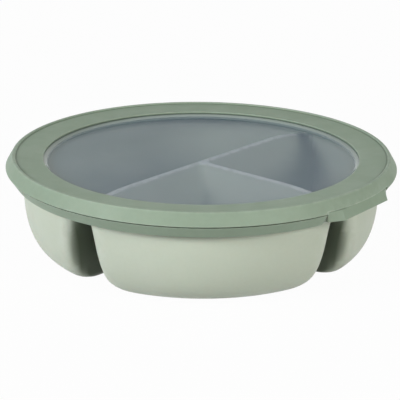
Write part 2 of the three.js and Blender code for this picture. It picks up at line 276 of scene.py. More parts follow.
class NodeBench:
    """A node tree with short ways to add what effects and materials share."""

    def __init__(self, tree: Tree) -> None:
        """Takes a tree.

        Args:
            tree: The tree that gets the nodes.
        """
        self.tree = tree

    def fill(self, node: Node, values: Values) -> None:
        """Links sockets to a node's inputs, or sets the inputs' own values.

        Args:
            node: The node.
            values: A socket, a number or three numbers for each input, by its name or place.
        """
        for label, source in values.items():
            target = node.inputs[label]
            if isinstance(source, Socket):
                self.tree.links.new(source, target)
            elif target.type == "RGBA":
                target.default_value = (*source, 1.0)
            else:
                target.default_value = source

    def add(self, kind: str, values: Values) -> Node:
        """Adds a node and fills its inputs.

        Args:
            kind: The node's type.
            values: What goes to each input.

        Returns:
            The node.
        """
        node = self.tree.nodes.new(kind)
        self.fill(node, values)
        return node

    def effect(self, group: Tree, values: Values) -> Node:
        """Adds a shared effect and fills its inputs.

        Args:
            group: The effect's group.
            values: What goes to each input.

        Returns:
            The group node.
        """
        node = self.tree.nodes.new("ShaderNodeGroup")
        node.node_tree = group
        self.fill(node, values)
        return node

    def noise(self, vector: Source, waves: Source, detail: float) -> Socket:
        """Adds a noise.

        Args:
            vector: Where it is read.
            waves: Its waves to the metre.
            detail: Its octaves.

        Returns:
            Its value.
        """
        values = {"Vector": vector, "Scale": waves, "Detail": detail}
        return self.add("ShaderNodeTexNoise", values).outputs["Fac"]

    def spread(self, source: Source, low: float, high: float) -> Socket:
        """Maps the middle of a noise onto a range.

        Args:
            source: The noise's value.
            low: What a low noise becomes.
            high: What a high noise becomes.

        Returns:
            The mapped value.
        """
        values = {"Value": source, "From Min": NOISE_LOW, "From Max": NOISE_HIGH, "To Min": low, "To Max": high}
        return self.add("ShaderNodeMapRange", values).outputs["Result"]

    def clouds(self, vector: Source, noise: Noise) -> Socket:
        """Adds a noise that is spread over its range.

        Args:
            vector: Where it is read.
            noise: Its sizes.

        Returns:
            Its value.
        """
        return self.spread(self.noise(vector, noise.waves, noise.detail), noise.low, noise.high)

    def arithmetic(self, operation: str, first: Source, second: Source, clamp: bool = False) -> Socket:
        """Adds a sum, product or maximum of two values.

        Args:
            operation: What is done.
            first: The first value.
            second: The second value.
            clamp: Whether the result stays between 0 and 1.

        Returns:
            The result.
        """
        node = self.tree.nodes.new("ShaderNodeMath")
        node.operation = operation
        node.use_clamp = clamp
        self.fill(node, {0: first, 1: second})
        return node.outputs["Value"]

    def mix(self, kind: str, share: Source, first: Source, second: Source) -> Socket:
        """Adds a mix of two colours or values.

        Args:
            kind: What is mixed.
            share: How much of the second shows.
            first: The first colour or value.
            second: The second colour or value.

        Returns:
            The result.
        """
        node = self.tree.nodes.new("ShaderNodeMix")
        node.data_type = kind
        self.fill(node, {"Factor": share, "A": first, "B": second})
        return node.outputs["Result"]

    def bump(self, height: Source, strength: float, depth_mm: float) -> Socket:
        """Adds a bump.

        Args:
            height: Its height, from 0 to 1.
            strength: How much of it shows.
            depth_mm: The depth that a height of 1 stands for.

        Returns:
            The bent normal.
        """
        values = {"Height": height, "Strength": strength, "Distance": depth_mm * MM}
        return self.add("ShaderNodeBump", values).outputs["Normal"]

    def show(self, end: str, share: Source, first: Source, second: Source) -> None:
        """Sends a mix of two shaders to the tree's end.

        Args:
            end: The output node's name.
            share: How much of the second shows.
            first: The first shader.
            second: The second shader.
        """
        mixed = self.add("ShaderNodeMixShader", {0: share, 1: first, 2: second})
        self.fill(self.tree.nodes[end], {"Surface": mixed.outputs["Shader"]})


class ShaderGroups:
    """The effects that several materials share, each built once."""

    def __init__(self) -> None:
        """Builds every group."""
        self.grain = self._moulded_grain()
        self.wear_and_painted_light = self._edge_wear_and_painted_light()
        self.haze = self._pane_haze()

    @staticmethod
    def _group(
        name: str, inputs: dict[Kind, list[str]], outputs: dict[Kind, list[str]]
    ) -> tuple[NodeBench, bpy.types.bpy_prop_collection, Node]:
        """Makes an empty group with named sockets.

        Args:
            name: The group's name.
            inputs: The names of the sockets of each kind.
            outputs: The names of the sockets of each kind.

        Returns:
            The group's bench, what it is given, and the node for its results.
        """
        tree = bpy.data.node_groups.new(name, "ShaderNodeTree")
        for way, sockets in (("INPUT", inputs), ("OUTPUT", outputs)):
            for kind, labels in sockets.items():
                for label in labels:
                    tree.interface.new_socket(label, in_out=way, socket_type=kind.value)
        inside = tree.nodes.new("NodeGroupInput")
        outside = tree.nodes.new("NodeGroupOutput")
        return NodeBench(tree), inside.outputs, outside

    def _moulded_grain(self) -> Tree:
        """Builds the grain of a moulding: cloudy tone, uneven gloss and a fine pebbled height."""
        bench, given, results = self._group(
            "moulded_grain",
            {Kind.VECTOR: ["Vector"], Kind.COLOUR: ["Base", "Shade"], Kind.VALUE: ["Roughness", "Grain Scale"]},
            {Kind.COLOUR: ["Color"], Kind.VALUE: ["Roughness", "Height"]},
        )
        place = given["Vector"]
        tone = bench.mix("RGBA", bench.clouds(place, TONE_CLOUDS), given["Base"], given["Shade"])
        flecked = bench.add("ShaderNodeHueSaturation", {"Value": bench.clouds(place, FLECKS), "Color": tone})
        values = {
            "Color": flecked.outputs["Color"],
            "Roughness": bench.arithmetic("ADD", given["Roughness"], bench.clouds(place, UNEVEN_GLOSS)),
            "Height": bench.noise(place, given["Grain Scale"], GRAIN_DETAIL),
        }
        bench.fill(results, values)
        return bench.tree

    def _edge_wear_and_painted_light(self) -> Tree:
        """Builds the paler tone of convex edges, scuffing and painted highlight, and the painted shade of
        recesses.
        """
        bench, given, results = self._group(
            "edge_wear_and_painted_light",
            {Kind.VECTOR: ["Vector"], Kind.COLOUR: ["Color", "Worn And Highlight", "Painted Shade"], Kind.VALUE: ["Edge", "Amount"]},
            {Kind.COLOUR: ["Color"]},
        )
        # Convex edges take the pale tone, part scuffing and part painted highlight, in patches.
        rubbed_and_highlit = bench.arithmetic("MULTIPLY", given["Edge"], bench.clouds(given["Vector"], PATCHY_WEAR_AND_HIGHLIGHT))
        mask = bench.arithmetic("MULTIPLY", rubbed_and_highlit, given["Amount"], clamp=True)
        worn_and_highlight = bench.mix("RGBA", mask, given["Color"], given["Worn And Highlight"])
        # Values below 0 take the painted shade.
        painted_shade_share = bench.arithmetic("MULTIPLY", given["Edge"], -1.0, clamp=True)
        bench.fill(results, {"Color": bench.mix("RGBA", painted_shade_share, worn_and_highlight, given["Painted Shade"])})
        return bench.tree

    def _pane_haze(self) -> Tree:
        """Builds a clear pane's haze: soft clouds, fine wiping scratches and a frosted bevel."""
        bench, given, results = self._group(
            "pane_haze",
            {
                Kind.VECTOR: ["Vector"],
                Kind.COLOUR: ["Tint", "Haze", "Frost"],
                Kind.VALUE: ["Clear Alpha", "Hazy Alpha", "Frost Alpha", "Edge", "Roughness"],
            },
            {Kind.COLOUR: ["Color"], Kind.VALUE: ["Alpha", "Roughness", "Height"]},
        )
        place, edge = given["Vector"], given["Edge"]
        cloud = bench.clouds(place, PANE_CLOUDS)
        stretch = bench.tree.nodes.new("ShaderNodeVectorMath")
        stretch.operation = "MULTIPLY"
        bench.fill(stretch, {0: place, 1: WIPE_WAVES})
        marks = bench.noise(stretch.outputs["Vector"], WIPE_MARKS.waves, WIPE_MARKS.detail)
        gloss = bench.spread(marks, WIPE_MARKS.low, WIPE_MARKS.high)
        colour = bench.mix("RGBA", cloud, given["Tint"], given["Haze"])
        alpha = bench.mix("FLOAT", cloud, given["Clear Alpha"], given["Hazy Alpha"])
        values = {
            "Color": bench.mix("RGBA", edge, colour, given["Frost"]),
            "Alpha": bench.mix("FLOAT", edge, alpha, given["Frost Alpha"]),
            "Roughness": bench.arithmetic("ADD", given["Roughness"], gloss),
            "Height": marks,
        }
        bench.fill(results, values)
        return bench.tree


class Materials:
    """The materials that the pieces wear."""

    def __init__(self) -> None:
        """Builds the shared groups and every material."""
        self.groups = ShaderGroups()
        self.bowl = self._plastic(BOWL_FINISH)
        self.lid = self._plastic(LID_FINISH)
        self.seal = self._plastic(SEAL_FINISH)
        self.window = self._pane(WINDOW_FINISH)

    @staticmethod
    def _start(name: str) -> tuple[Material, NodeBench, Socket, Socket]:
        """Makes a node material on object coordinates.

        Args:
            name: The material's name.

        Returns:
            The material, its bench, the place on the object and the edge value.
        """
        material = bpy.data.materials.new(name)
        material.use_nodes = True
        bench = NodeBench(material.node_tree)
        place = bench.add("ShaderNodeTexCoord", {})
        edge = bench.add("ShaderNodeAttribute", {})
        edge.attribute_name = EDGE_ATTRIBUTE
        return material, bench, place.outputs["Object"], edge.outputs["Fac"]

    def _plastic(self, finish: PlasticFinish) -> Material:
        """Builds a moulded material.

        Args:
            finish: Its colours and grain.

        Returns:
            The material.
        """
        material, bench, place, edge = self._start(finish.name)
        grain_values = {
            "Vector": place,
            "Base": finish.base,
            "Shade": finish.shade,
            "Roughness": finish.roughness,
            "Grain Scale": 1.0 / (finish.grain_mm * MM),
        }
        grain = bench.effect(self.groups.grain, grain_values)
        wear_values = {
            "Vector": place,
            "Color": grain.outputs["Color"],
            "Worn And Highlight": finish.worn_and_highlight,
            "Painted Shade": finish.painted_shade,
            "Edge": edge,
            "Amount": finish.wear_and_painted_light,
        }
        wear_and_painted_light = bench.effect(self.groups.wear_and_painted_light, wear_values)
        shader_values = {
            "Base Color": wear_and_painted_light.outputs["Color"],
            "Roughness": grain.outputs["Roughness"],
            "Normal": bench.bump(grain.outputs["Height"], finish.grain_depth, finish.grain_mm),
            "IOR": PLASTIC_IOR,
            "Specular IOR Level": finish.shine,
            "Coat Weight": finish.coat,
            "Subsurface Weight": finish.subsurface,
            "Subsurface Scale": SCATTER_MM * MM,
        }
        bench.fill(bench.tree.nodes["Principled BSDF"], shader_values)
        return material

    def _pane(self, finish: WindowFinish) -> Material:
        """Builds the clear pane's material.

        Args:
            finish: Its tint and haze.

        Returns:
            The material.
        """
        material, bench, place, edge = self._start(finish.name)
        haze_values = {
            "Vector": place,
            "Tint": finish.tint,
            "Haze": finish.haze,
            "Frost": finish.frost,
            "Clear Alpha": finish.clear_alpha,
            "Hazy Alpha": finish.hazy_alpha,
            "Frost Alpha": finish.frost_alpha,
            "Edge": edge,
            "Roughness": finish.roughness,
        }
        haze = bench.effect(self.groups.haze, haze_values)
        shader_values = {
            "Base Color": haze.outputs["Color"],
            "Alpha": haze.outputs["Alpha"],
            "Roughness": haze.outputs["Roughness"],
            "Normal": bench.bump(haze.outputs["Height"], finish.mark_depth, finish.mark_mm),
            "IOR": PLASTIC_IOR,
            "Specular IOR Level": finish.shine,
        }
        bench.fill(bench.tree.nodes["Principled BSDF"], shader_values)
        return material


def link_mesh(name: str, mesh: Mesh) -> Piece:
    """Puts a mesh in the scene as an object at the origin.

    Args:
        name: The object's name.
        mesh: Its mesh, in metres.

    Returns:
        The object.
    """
    piece = bpy.data.objects.new(name, mesh)
    bpy.context.scene.collection.objects.link(piece)
    return piece


@contextmanager
def reworked(mesh: Mesh) -> Iterator[bmesh.types.BMesh]:
    """Opens a mesh for editing and writes it back.

    Args:
        mesh: The mesh.

    Yields:
        Its editable form.
    """
    work = bmesh.new()
    work.from_mesh(mesh)
    yield work
    work.to_mesh(mesh)
    work.free()


def apply_step(piece: Piece, step: bpy.types.Modifier) -> None:
    """Makes a modifier's result the object's own mesh.

    Args:
        piece: The object.
        step: Its modifier, which is removed.
    """
    graph = bpy.context.evaluated_depsgraph_get()
    made = bpy.data.meshes.new_from_object(piece.evaluated_get(graph))
    piece.modifiers.remove(step)
    old = piece.data
    piece.data = made
    bpy.data.meshes.remove(old)
    made.name = piece.name


def closed_mesh(name: str, points: np.ndarray, faces: list[list[int]]) -> Mesh:
    """Makes a closed mesh whose faces point outwards.

    Args:
        name: The mesh's name.
        points: Points in millimetres.
        faces: Corner lists.

    Returns:
        The mesh, in metres.
    """
    mesh = bpy.data.meshes.new(name)
    mesh.from_pydata((points * MM).tolist(), [], faces)
    with reworked(mesh) as work:
        bmesh.ops.remove_doubles(work, verts=work.verts, dist=SAME_POINT_METRES)
        bmesh.ops.recalc_face_normals(work, faces=work.faces)
    return mesh


def lofted_mesh(name: str, rings: np.ndarray) -> Mesh:
    """Skins closed rings of points, with a flat cap at each end.

    Args:
        name: The mesh's name.
        rings: Points in millimetres, shaped levels by points by 3.

    Returns:
        The closed mesh.
    """
    levels, count, _ = rings.shape
    faces = []
    for level in range(levels - 1):
        for step in range(count):
            after = (step + 1) % count
            low, high = level * count, (level + 1) * count
            faces.append([low + step, low + after, high + after, high + step])
    faces.append(list(range(count))[::-1])
    faces.append(list(range((levels - 1) * count, levels * count)))
    return closed_mesh(name, rings.reshape(-1, 3), faces)


def turned_disc(name: str, outline: Outline) -> Mesh:
    """Turns an outline that starts and ends on the axis.

    Args:
        name: The mesh's name.
        outline: Radius and height pairs in millimetres, first and last on the axis.

    Returns:
        The closed mesh.
    """
    turns = np.linspace(0.0, 2.0 * math.pi, TURN_STEPS, endpoint=False)
    rim = outline[1:-1]
    points = [np.array([[0.0, 0.0, outline[0][1]], [0.0, 0.0, outline[-1][1]]])]
    for radius, height in rim:
        ring = np.stack([radius * np.cos(turns), radius * np.sin(turns), np.full(TURN_STEPS, height)], axis=1)
        points.append(ring)
    faces = []
    first = len(points[0])
    last = first + (len(rim) - 1) * TURN_STEPS
    for step in range(TURN_STEPS):
        after = (step + 1) % TURN_STEPS
        faces.append([0, first + after, first + step])
        faces.append([1, last + step, last + after])
        for level in range(len(rim) - 1):
            low = first + level * TURN_STEPS
            high = low + TURN_STEPS
            faces.append([low + step, low + after, high + after, high + step])
    return closed_mesh(name, np.concatenate(points), faces)


def rounded_outline(corners: list[Triple]) -> Outline:
    """Rounds the corners of a closed outline.

    Args:
        corners: Radius, height and rounding of each corner, in millimetres.

    Returns:
        The outline's radius and height pairs.
    """
    outline = []
    count = len(corners)
    for index, (x, y, rounding) in enumerate(corners):
        here = Vector((x, y))
        back = Vector(corners[index - 1][:2]) - here
        ahead = Vector(corners[(index + 1) % count][:2]) - here
        reach = min(rounding, LONGEST_ROUND_SHARE * back.length, LONGEST_ROUND_SHARE * ahead.length)
        if reach < SHORTEST_ROUND_MM:
            outline.append((x, y))
            continue
        start = here + back.normalized() * reach
        end = here + ahead.normalized() * reach
        for step in range(ROUND_STEPS + 1):
            share = step / ROUND_STEPS
            point = start.lerp(here, share).lerp(here.lerp(end, share), share)
            outline.append((point.x, point.y))
    return outline


def combined(base: Piece, other: Mesh, joining: Joining) -> None:
    """Joins a body to an object, or cuts it out of the object.

    Args:
        base: The object, whose mesh is replaced.
        other: The second body's mesh, which is removed.
        joining: What to do with it.
    """
    helper = link_mesh("helper", other)
    step = base.modifiers.new("join", "BOOLEAN")
    step.operation = joining.value
    step.solver = "MANIFOLD"
    step.object = helper
    apply_step(base, step)
    bpy.data.objects.remove(helper)
    bpy.data.meshes.remove(other)


def mark_edges(mesh: Mesh, gain: float, rule: EdgeRule | None) -> None:
    """Stores how pale or how dark the surface is painted at each point.

    Convex edges, scuffed and given a painted highlight, are above 0. Recesses with painted shade are below 0,
    down to -1.

    Args:
        mesh: The mesh.
        gain: How much the convex edges count.
        rule: Gives painted highlight or painted shade at points in millimetres where the form itself asks for
            them, else 0.
    """
    work = bmesh.new()
    work.from_mesh(mesh)
    bends = np.zeros(len(work.verts))
    pairs = np.array([[edge.verts[0].index, edge.verts[1].index] for edge in work.edges])
    for edge in work.edges:
        bend = max(edge.calc_face_angle_signed(0.0), 0.0)
        for vert in edge.verts:
            bends[vert.index] = max(bends[vert.index], min(bend / FULL_WEAR_AND_HIGHLIGHT_ANGLE, 1.0))
    work.free()
    for _ in range(EDGE_SMOOTHING):
        total = np.zeros(len(bends))
        count = np.zeros(len(bends))
        for here, there in ((0, 1), (1, 0)):
            np.add.at(total, pairs[:, here], bends[pairs[:, there]])
            np.add.at(count, pairs[:, here], 1.0)
        bends = 0.5 * bends + 0.5 * total / np.maximum(count, 1.0)
    bends *= gain
    if rule is not None:
        places = np.array([vertex.co for vertex in mesh.vertices]) / MM
        asked = rule(places)
        bends = np.where(asked < 0.0, asked, np.maximum(bends, asked))
    attribute = mesh.attributes.new(EDGE_ATTRIBUTE, "FLOAT", "POINT")
    attribute.data.foreach_set("value", bends.astype(np.float32))


def finish_mesh(mesh: Mesh, material: Material, gain: float = 1.0, rule: EdgeRule | None = None) -> None:
    """Cleans a mesh, smooths its shading, marks its edges and gives it its material.

    Args:
        mesh: The mesh.
        material: What it wears.
        gain: How much its convex edges count as scuffed and highlit.
        rule: Where its form gets painted highlight or painted shade.
    """
    with reworked(mesh) as work:
        bmesh.ops.remove_doubles(work, verts=work.verts, dist=WELD_MM * MM)
        bmesh.ops.dissolve_degenerate(work, edges=work.edges, dist=SLIVER_MM * MM)
    mesh.shade_smooth()
    mesh.set_sharp_from_angle(angle=SHARP_ANGLE)
    mark_edges(mesh, gain, rule)
    mesh.materials.clear()
    mesh.materials.append(material)


class RingSweep:
    """A Geometry Nodes tree that sweeps an outline round a circle."""

    def __init__(self) -> None:
        """Builds the tree with named inputs for its radius, steps and material."""
        tree = bpy.data.node_groups.new("ring_sweep", "GeometryNodeTree")
        face = tree.interface
        face.new_socket("Geometry", in_out="INPUT", socket_type="NodeSocketGeometry")
        self.radius = face.new_socket("Radius", in_out="INPUT", socket_type="NodeSocketFloat").identifier
        self.steps = face.new_socket("Steps", in_out="INPUT", socket_type="NodeSocketInt").identifier
        self.material = face.new_socket("Material", in_out="INPUT", socket_type="NodeSocketMaterial").identifier
        face.new_socket("Geometry", in_out="OUTPUT", socket_type="NodeSocketGeometry")
        bench = NodeBench(tree)
        given = tree.nodes.new("NodeGroupInput").outputs
        values = {"Radius": given["Radius"], "Resolution": given["Steps"]}
        circle = bench.add("GeometryNodeCurvePrimitiveCircle", values)
        upright = bench.add("GeometryNodeSetCurveNormal", {"Curve": circle.outputs["Curve"]})
        upright.mode = "Z_UP"
        profile = bench.add("GeometryNodeMeshToCurve", {"Mesh": given["Geometry"]})
        values = {"Curve": upright.outputs["Curve"], "Profile Curve": profile.outputs["Curve"]}
        sweep = bench.add("GeometryNodeCurveToMesh", values)
        real = bench.add("GeometryNodeRealizeInstances", {"Geometry": sweep.outputs["Mesh"]})
        values = {"Geometry": real.outputs["Geometry"], "Material": given["Material"]}
        dress = bench.add("GeometryNodeSetMaterial", values)
        bench.add("NodeGroupOutput", {"Geometry": dress.outputs["Geometry"]})
        self.tree = tree

    def ring(self, name: str, outline: Outline, material: Material) -> Piece:
        """Sweeps an outline into a ring.

        Args:
            name: The ring's name.
            outline: Radius and height pairs in millimetres, closed on themselves.
            material: What the ring wears.

        Returns:
            The ring as a plain mesh object.
        """
        middle = outline[0][0]
        points = [((radius - middle) * MM, -height * MM, 0.0) for radius, height in outline]
        count = len(points)
        mesh = bpy.data.meshes.new(name)
        mesh.from_pydata(points, [(step, (step + 1) % count) for step in range(count)], [])
        holder = link_mesh(name, mesh)
        step = holder.modifiers.new("sweep", "NODES")
        step.node_group = self.tree
        step[self.radius] = middle * MM
        step[self.steps] = TURN_STEPS
        step[self.material] = material
        apply_step(holder, step)
        with reworked(holder.data) as work:
            bmesh.ops.recalc_face_normals(work, faces=work.faces)
        return holder


@dataclass
class BowlSizes:
    """The bowl's own sizes, in millimetres and degrees."""

    wall_radius: float = 94.4
    wall: float = 1.8
    floor: float = 2.0
    base_curve: float = 24.4
    curve_top: float = 38.0
    curve_power: float = 2.6
    rim_height: float = 11.6
    band_step: float = 0.6
    band_ramp: float = 0.8
    band_inset: float = 0.4
    flange_overhang: float = 2.0
    flange_thickness: float = 2.6
    edge_round: float = 0.6
    divider_angle: float = 49.3
    short_turn: float = 90.0
    crest_below_rim: float = 2.0
    crest_drop: float = 4.8
    crest_level_share: float = 0.6
    crest_flat: float = 0.06
    divider_half_width: float = 9.0
    divider_depth: float = 40.0
    side_corner: float = 6.5
    side_foot: float = 3.4
    front_corner: float = 12.5
    front_foot: float = 9.0
    centre_round: float = 6.0

    def __post_init__(self) -> None:
        """Works out the sizes that follow from the others."""
        self.bore = self.wall_radius - self.wall
        self.rim_top = self.curve_top + self.rim_height
        self.crest_top = self.rim_top - self.crest_below_rim
        self.rim_bore = self.bore + self.band_step
        self.flange = self.wall_radius + self.band_step + self.flange_overhang

    def crest_at(self, reach: np.ndarray) -> np.ndarray:
        """Height of the dividers at a distance from the axis.

        Args:
            reach: Distances from the axis.

        Returns:
            Heights.
        """
        start = self.bore * self.crest_level_share
        share = np.maximum(reach - start, 0.0) / (self.bore - start)
        return self.crest_top - self.crest_drop * share**2


@dataclass(frozen=True)
class Sector:
    """Where a compartment lies, in degrees, and how round it is, in millimetres."""

    start: float
    end: float
    corner: float
    foot: float


class Compartment:
    """One compartment's outline: the space inside or, grown by the wall, its leg."""

    SIDE_POINTS = 30
    CORNER_POINTS = 12
    ARC_STEP_DEGREES = 1.6
    WIDE_SPAN = 0.75 * math.pi
    EYE_SHARE = 0.45
    CROWN_SHARE = 0.25
    CROWN_ROOM = 1.2
    LOW_LEVELS = 26
    CROWN_LEVELS = 18
    LEVEL_CROWDING = 2.2
    SEARCH_STEPS = 36
    SEARCH_MARGIN_MM = 1e-4

    def __init__(self, sizes: BowlSizes, sector: Sector, grown: bool) -> None:
        """Works out this outline's own sizes.

        Args:
            sizes: The bowl's sizes.
            sector: The two dividers beside it, and its own rounding.
            grown: True for the leg, false for the space.
        """
        self.sizes = sizes
        self.start = math.radians(sector.start)
        self.span = math.radians((sector.end - sector.start) % 360.0)
        inner = 0.0 if grown else sizes.wall
        self.wall = sizes.wall_radius - inner
        self.base = self.wall - sizes.base_curve
        self.floor = 0.0 if grown else sizes.floor
        self.roof = sizes.wall - inner
        self.divider_half = sizes.divider_half_width - self.roof
        self.divider_depth = sizes.divider_depth - self.roof
        self.corner = sector.corner - inner
        self.centre = sizes.centre_round - inner
        self.foot = sector.foot - inner

    @staticmethod
    def rounded(first: np.ndarray, second: np.ndarray, rounding: float) -> np.ndarray:
        """The larger of two signed distances, with the edge between them rounded.

        Args:
            first: Signed distances, below zero inside.
            second: Signed distances, below zero inside.
            rounding: Radius of the edge.

        Returns:
            Signed distances.
        """
        past = np.hypot(np.maximum(first + rounding, 0.0), np.maximum(second + rounding, 0.0))
        return np.minimum(np.maximum(first, second), -rounding) + past

    def radius_at(self, height: np.ndarray) -> np.ndarray:
        """Outer radius at a height: upright above, curving in to the base.

        Args:
            height: Heights.

        Returns:
            Radii.
        """
        top, power = self.sizes.curve_top, self.sizes.curve_power
        fall = np.clip((top - height) / (top - self.floor), 0.0, 1.0) ** power
        return self.base + (self.wall - self.base) * (1.0 - fall) ** (1.0 / power)

    def half_width_at(self, depth: np.ndarray) -> np.ndarray:
        """Half the divider's width at a depth below its crest: half an ellipse on upright sides.

        Args:
            depth: Depths below the crest.

        Returns:
            Half widths.
        """
        below = np.clip(depth, self.sizes.crest_flat, self.divider_depth)
        share = 1.0 - below / self.divider_depth
        return self.divider_half * np.sqrt(1.0 - share**2)

    def outside(self, x: np.ndarray, y: np.ndarray, height: np.ndarray) -> np.ndarray:
        """Signed distance to the outline at a height, below zero inside.

        Args:
            x: Places to the right.
            y: Places to the back.
            height: Heights.

        Returns:
            Signed distances.
        """
        reach = np.hypot(x, y)
        half = self.half_width_at(self.sizes.crest_at(reach) - self.roof - height)
        end = self.start + self.span
        first = half - (y * math.cos(self.start) - x * math.sin(self.start))
        second = half - (x * math.sin(end) - y * math.cos(end))
        if self.span > self.WIDE_SPAN:
            side = np.maximum(first, second)
        else:
            side = self.rounded(first, second, self.centre)
        return self.rounded(reach - self.radius_at(height), side + self.foot_inset(height), self.corner)

    def foot_inset(self, height: np.ndarray) -> np.ndarray:
        """How far the rounded foot sets the sides in.

        Args:
            height: Heights.

        Returns:
            Insets.
        """
        below = np.clip(self.foot - (height - self.floor), 0.0, self.foot)
        return self.foot - np.sqrt(self.foot**2 - below**2)

    def targets(self) -> np.ndarray:
        """Points on the plain sector's outline that the rays aim at.

        Returns:
            Points, shaped count by 2, counter-clockwise.
        """
        shoulder = self.wall - 2.0 * self.corner
        sides = np.linspace(0.0, shoulder, self.SIDE_POINTS, endpoint=False)
        bends = np.linspace(shoulder, self.wall, self.CORNER_POINTS, endpoint=False)
        arc_steps = int(math.degrees(self.span) / self.ARC_STEP_DEGREES)
        arc = np.linspace(0.0, self.span, arc_steps)
        reaches = np.concatenate([sides, bends, np.full(arc_steps, self.wall), bends[::-1], sides[::-1]])
        first = np.zeros(len(sides) + len(bends))
        last = np.full(len(sides) + len(bends), self.span)
        angles = self.start + np.concatenate([first, arc, last])
        points = np.stack([reaches * np.cos(angles), reaches * np.sin(angles)], axis=1)
        return points[:-1]

    def mesh(self, name: str) -> Mesh:
        """Makes the outline's body.

        Args:
            name: The mesh's name.

        Returns:
            The closed mesh.
        """
        sizes = self.sizes
        middle = self.start + self.span / 2.0
        eye = self.EYE_SHARE * self.wall * np.array([math.cos(middle), math.sin(middle)])
        ways = self.targets() - eye
        ways /= np.linalg.norm(ways, axis=1)[:, None]
        crown = self.CROWN_SHARE * self.divider_depth
        tall = float(sizes.crest_at(np.array(sizes.bore))) - self.roof - self.CROWN_ROOM * crown
        rise = np.linspace(0.0, 1.0, self.LOW_LEVELS) ** self.LEVEL_CROWDING
        fall = np.linspace(1.0, 0.0, self.CROWN_LEVELS) ** self.LEVEL_CROWDING
        heights = self.floor + (tall - self.floor) * rise
        depths = sizes.crest_flat + (crown - sizes.crest_flat) * fall
        inside = np.zeros((len(heights) + len(depths) + 1, len(ways)))
        outside = np.full_like(inside, 2.0 * self.wall)

        def level(reach: np.ndarray) -> np.ndarray:
            """Heights of every level at these distances from the axis."""
            flat = np.broadcast_to(heights[:, None], (len(heights), reach.shape[1]))
            crest = sizes.crest_at(reach[len(heights) : -1]) - self.roof - depths[:, None]
            top = np.full((1, reach.shape[1]), sizes.rim_top - 0.5 * sizes.crest_below_rim)
            return np.concatenate([flat, crest, top])

        for _ in range(self.SEARCH_STEPS):
            half = 0.5 * (inside + outside)
            x = eye[0] + ways[:, 0] * half
            y = eye[1] + ways[:, 1] * half
            beyond = self.outside(x, y, level(np.hypot(x, y))) > self.SEARCH_MARGIN_MM
            outside = np.where(beyond, half, outside)
            inside = np.where(beyond, inside, half)
        x = eye[0] + ways[:, 0] * inside
        y = eye[1] + ways[:, 1] * inside
        return lofted_mesh(name, np.stack([x, y, level(np.hypot(x, y))], axis=2))


